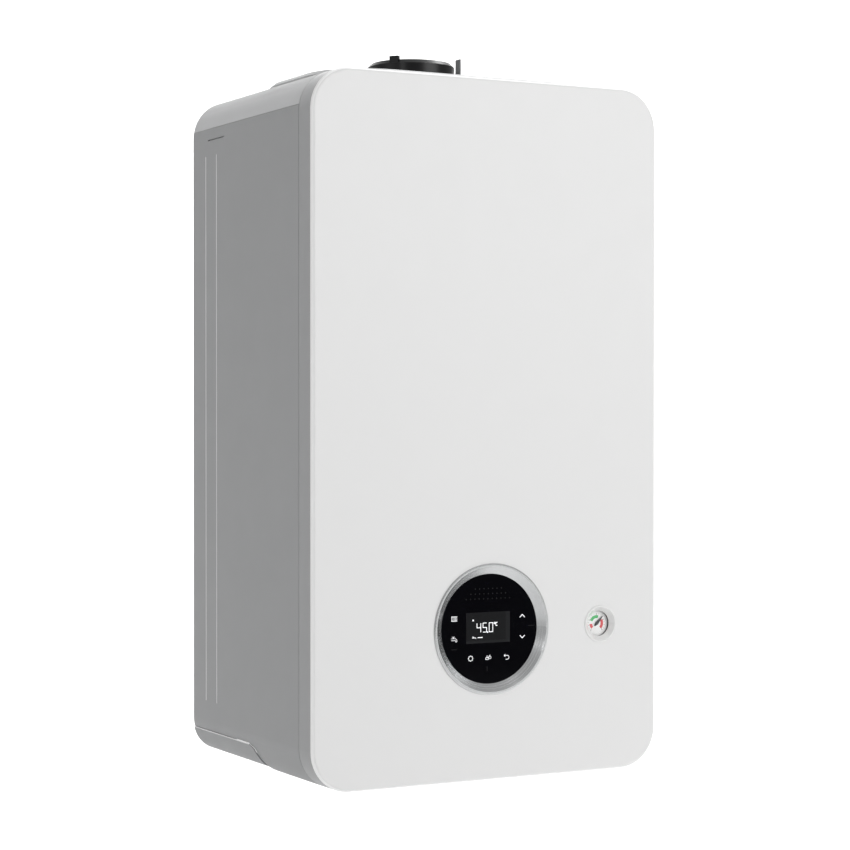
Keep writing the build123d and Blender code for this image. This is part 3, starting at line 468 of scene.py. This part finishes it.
lit = Material("lit white", Emission_Strength=0.6)
glow = lit.noise(400.0, 1.0)
lit.feed("Base Color", lit.mix(glow, (0.8, 0.8, 0.8), (0.9, 0.9, 0.9)))
lit.feed("Emission Color", lit.mix(glow, (0.82, 0.84, 0.88), (0.95, 0.96, 1.0)))

faint = coated("faint print", (0.008, 0.008, 0.009), 0.5, 0.2, Specular_IOR_Level=0.1)
GLASS_FRONT = -294.4
print("flat marks can be made")

# %% [markdown]
# ## The touch marks
# A radiator and a tap sit left of the display, two chevrons right of it, and a cogwheel, a
# brush and a return arrow below. Three rows of faint dots run across the top of the glass, where a
# sounder sits behind it. The glass lies a few millimetres behind the front's face. The places were
# read on the face, so each mark moves over by the step that the slanting view makes between them.

# %% Touch marks on the glass
SLANT_STEP = 2.0


def shifted(outlines, spot):
    """Outlines moved to a place on the glass, given on the front's face."""
    return moved(outlines, spot[0] - DIAL[0] + SLANT_STEP, spot[1] - DIAL[1])


radiator = [rect(-3.3, 2.0, 3.3, 2.4), rect(-3.3, -2.4, 3.3, -2.0)] + [
    rect(a - 0.2, -2.4, a + 0.2, 2.4) for a in (-2.9, -1.45, 0.0, 1.45, 2.9)]
tap = stroke([(-3.2, 0.9), (1.6, 0.9), (3.2, -0.4), (3.3, -2.4),
              (1.9, -2.4), (1.6, -1.0), (-3.2, -1.0)], 0.4) + [
    rect(-0.9, 0.9, -0.5, 2.4), rect(-2.2, 2.3, 0.8, 2.7)]
rise = stroke([(-2.9, -1.5), (0.1, 1.4)], 0.7) + stroke([(-0.1, 1.4), (2.9, -1.5)], 0.7)
fall = [[(a, -b) for a, b in reversed(outline)] for outline in rise]
cog = arc(2.1, 2.5, 0, 360) + [spoke(45 * i, 2.4, 3.1, 0.6) for i in range(8)]
brush = stroke([(-3.2, -2.0), (0.2, -2.0), (0.2, -0.2), (-3.2, -0.2), (-3.2, -2.0)], 0.4)
brush += arc(1.1, 1.5, 0, 360, 1.8, 0.0) + [bar((0.6, 0.8), (2.0, 2.6), 0.45)]
brush += arc(0.7, 1.0, 0, 360, -1.4, 0.9)
arrow = stroke([(-2.4, 1.3), (1.0, 1.3)], 0.5) + arc(1.7, 2.2, -90, 90, 0.9, -0.65) + [
    rect(-1.0, -2.85, 1.0, -2.35)] + stroke([(-1.5, 2.6), (-2.8, 1.3), (-1.5, 0.0)], 0.5)
icons = (shifted(radiator, (-41.3, 164.4)) + shifted(tap, (-41.5, 143.7)) + shifted(rise, (38.2, 164.4))
         + shifted(fall, (38.2, 143.0)) + shifted(cog, (-22.4, 123.6)) + shifted(brush, (-1.7, 123.7))
         + shifted(arrow, (19.6, 123.4)))
touch_marks = mark("touch_marks", lit, icons, DIAL, GLASS_FRONT)

DOTS_APART, DOT_RADIUS = 5.06, 0.7

dots = []
for height, left, count in ((193.7, -16.9, 7), (188.5, -22.0, 9), (183.4, -27.5, 11)):
    row = [disc(DOTS_APART * i, 0.0, DOT_RADIUS) for i in range(count)]
    dots += shifted(row, (left, height))
dots += shifted([rect(-3.5, -0.4, 3.5, 0.4)], (48.7, 154.0))
dots += shifted([rect(-3.0, -0.4, 3.0, 0.4)], (-41.5, 133.5))
dots += shifted([rect(-0.5, -2.4, 0.5, 2.4)], (-3.1, 112.5))
faint_dots = mark("sounder_dots", faint, dots, DIAL, GLASS_FRONT, 0.02)
print(len(icons), "strokes and", len(dots), "faint dots and dashes")

# %% [markdown]
# ## The display
# The display is a dark grey window with a painted highlight, a lighter strip on the right and
# along the bottom, where the light catches its frame. Its figures are built from seven segments, as
# on any such display, and read a water temperature.

# %% Display window and figures
lcd = coated("display window", (0.0085, 0.0088, 0.0098), 0.35, 0.03, Specular_IOR_Level=0.08)
# A lighter strip on the right and along the bottom is a painted highlight on the display's frame.
edge = coated("display edge highlight", (0.014, 0.0145, 0.016), 0.35, 0.03, Specular_IOR_Level=0.08)
middle = (0.0, 154.2)
screen = mark("display_window", lcd, [rect(-25.5, -15.6, 25.5, 15.6)], middle, GLASS_FRONT, 0.02)
display_highlight = mark("display_edge_highlight", edge, [rect(20.6, -15.6, 25.5, 15.6), rect(-25.5, -15.6, 20.6, -12.9)],
           middle, GLASS_FRONT - 0.02, 0.02)

SEGMENTS = {"a": ((0, 1), (1, 1)), "b": ((1, 1), (1, .5)), "c": ((1, .5), (1, 0)),
            "d": ((0, 0), (1, 0)), "e": ((0, .5), (0, 0)), "f": ((0, 1), (0, .5)),
            "g": ((0, .5), (1, .5))}
FIGURES = {"4": "fgbc", "5": "afgcd", "0": "abcdef", "C": "afed"}


def figure(sign, left, wide, low=-4.5, high=9.2, width=0.7):
    """Strokes of a seven-segment figure; the usual height is that of the large figures."""
    out = []
    for segment in FIGURES[sign]:
        (ax, ay), (bx, by) = SEGMENTS[segment]
        a, b = (left + ax * wide, low + ay * high), (left + bx * wide, low + by * high)
        out.append(bar(a, b, width))
    return out


shapes = figure("4", -13.0, 4.4) + figure("5", -6.0, 4.2) + figure("0", 1.2, 4.2)
shapes += [rect(-1.2, -5.4, 0.1, -4.0)]
shapes += arc(0.5, 1.1, 0, 360, 7.4, 4.2) + figure("C", 9.0, 1.9, 1.6, 3.2)
shapes += [rect(-18.2, 7.0, -16.7, 8.6), rect(-18.6, -10.2, -15.6, -9.5),
           rect(-17.8, -9.5, -17.3, -8.2), rect(-12.2, -10.2, -6.4, -9.4),
           [(-15.4, -9.7), (-14.4, -10.9), (-13.9, -10.9), (-14.7, -9.5)]]
figures = mark("display_figures", lit, shapes, middle, GLASS_FRONT - 0.04)
print("the display reads 45.0")

# %% [markdown]
# ## The water gauge
# The dial carries a green band for the working range and two red bands, with short ticks outside
# them. Every fourth of the 17 ticks is longer and thicker.

# %% Scale on the gauge's dial
DIAL_FACE = -292.5
green = coated("green print", (0.02, 0.45, 0.10), 0.5, 0.03)
red = coated("red print", (0.70, 0.02, 0.03), 0.5, 0.03)
ink = coated("black print", (0.03, 0.03, 0.03), 0.5, 0.03)
BAND_INNER, BAND_OUTER, TICK_OUTER = 5.2, 8.4, 10.4
SCALE_START, SCALE_SWEEP, TICK_STEPS = 225, 270, 16

ticks = []
for i in range(TICK_STEPS + 1):
    tick_inner, tick_width = (8.6, 0.5) if i % 4 == 0 else (9.4, 0.3)
    tick_angle = SCALE_START - SCALE_SWEEP * i / TICK_STEPS
    ticks.append(spoke(tick_angle, tick_inner, TICK_OUTER, tick_width))
working_band = arc(BAND_INNER, BAND_OUTER, 72, 158)
red_bands = arc(BAND_INNER, BAND_OUTER, -45, 30) + arc(BAND_INNER, BAND_OUTER, 185, 222)
for name, material, outlines in (("gauge_green", green, working_band),
                                 ("gauge_red", red, red_bands),
                                 ("gauge_ticks", ink, ticks)):
    print_on_dial = mark(name, material, outlines, GAUGE, DIAL_FACE, 0.02)
print("gauge scale drawn")

# %% [markdown]
# ## The studio
# The boiler hangs in front of a pale sweep with nothing else in view. A broad soft light comes
# from the front and right, so the front is brightest, and weaker ones come from above and from the
# left, so the sides fall into a soft grey. A small light picks out the front's rounded left edge,
# and one behind the boiler shines only on the sweep, which makes the background white.

# %% Sweep and lights
pale = coated("studio white", (0.93, 0.93, 0.93), 0.9, 0.004)
FLOOR_FRONT, FLOOR_LEVEL = -6.0, -1.0
BEND_START, BEND_RADIUS = 2.2, 1.6
WALL_TOP, HALF_WIDTH = 5.0, 8.0

rows = [(FLOOR_FRONT, FLOOR_LEVEL)]
for angle in range(0, 91, 6):
    turn = math.radians(angle)
    rows.append((BEND_START + BEND_RADIUS * math.sin(turn),
                 FLOOR_LEVEL + BEND_RADIUS * (1 - math.cos(turn))))
rows.append((BEND_START + BEND_RADIUS, WALL_TOP))
points = [(side * HALF_WIDTH, y, z) for y, z in rows for side in (-1, 1)]
quads = [(2 * i, 2 * i + 1, 2 * i + 3, 2 * i + 2) for i in range(len(rows) - 1)]
sweep_mesh = bpy.data.meshes.new("sweep")
sweep_mesh.from_pydata(points, [], quads)
sweep_mesh.materials.append(pale.made)
for polygon in sweep_mesh.polygons:
    polygon.use_smooth = True
sweep = bpy.data.objects.new("sweep", sweep_mesh)
bpy.context.collection.objects.link(sweep)


def soft_light(name, spot, aim, size, watts):
    """A square soft light looking at a point."""
    lamp = bpy.data.lights.new(name, "AREA")
    lamp.shape, lamp.size, lamp.energy = "SQUARE", size, watts
    made = bpy.data.objects.new(name, lamp)
    made.location = spot
    made.rotation_euler = (Vector(aim) - Vector(spot)).to_track_quat("-Z", "Y").to_euler()
    bpy.context.collection.objects.link(made)


soft_light("front light", (1.6, -3.4, 1.0), (0, -0.2, -0.3), size=2.4, watts=60)
soft_light("top light", (-0.3, -0.6, 2.6), (0, -0.1, -0.1), size=2.0, watts=9)
soft_light("side light", (-3.2, -0.4, 0.6), (0, -0.15, -0.3), size=1.6, watts=5)
soft_light("edge light", (-2.4, -2.2, 0.5), (-0.2, -0.3, -0.1), size=0.25, watts=3)
soft_light("back light", (2.2, 1.2, 3.0), (2.6, 3.7, 0.2), size=2.5, watts=220)

world = bpy.data.worlds.new("studio")
world.use_nodes = True
sky = world.node_tree.nodes["Background"]
sky.inputs["Color"].default_value = (1.0, 1.0, 1.0, 1.0)
sky.inputs["Strength"].default_value = 0.42
bpy.context.scene.world = world
bpy.context.scene.view_settings.view_transform = "Standard"
print("studio set")

# %% [markdown]
# ## The camera
# Straight edges in the photograph give the camera's place: 28 degrees round to the left, almost
# level with the boiler's middle, 2.4 m away.

# %% Camera
IMAGE_WIDTH, FOCAL_PIXELS, SENSOR_WIDTH = 850, 2255.5, 36.0

aim = place(4.92, -150.0, 358.44)
round_left, upward, away = math.radians(-28.241), math.radians(0.438), 2.41467
back = Vector((math.sin(round_left) * math.cos(upward),
               -math.cos(round_left) * math.cos(upward),
               math.sin(upward)))
lens = bpy.data.cameras.new("camera")
lens.lens, lens.sensor_width = FOCAL_PIXELS / IMAGE_WIDTH * SENSOR_WIDTH, SENSOR_WIDTH
lens.clip_start, lens.clip_end = 0.05, 50.0
camera = bpy.data.objects.new("camera", lens)
camera.location = aim + back * away
camera.rotation_euler = (-back).to_track_quat("-Z", "Y").to_euler()
bpy.context.collection.objects.link(camera)
bpy.context.scene.camera = camera
print("camera at", camera.location)
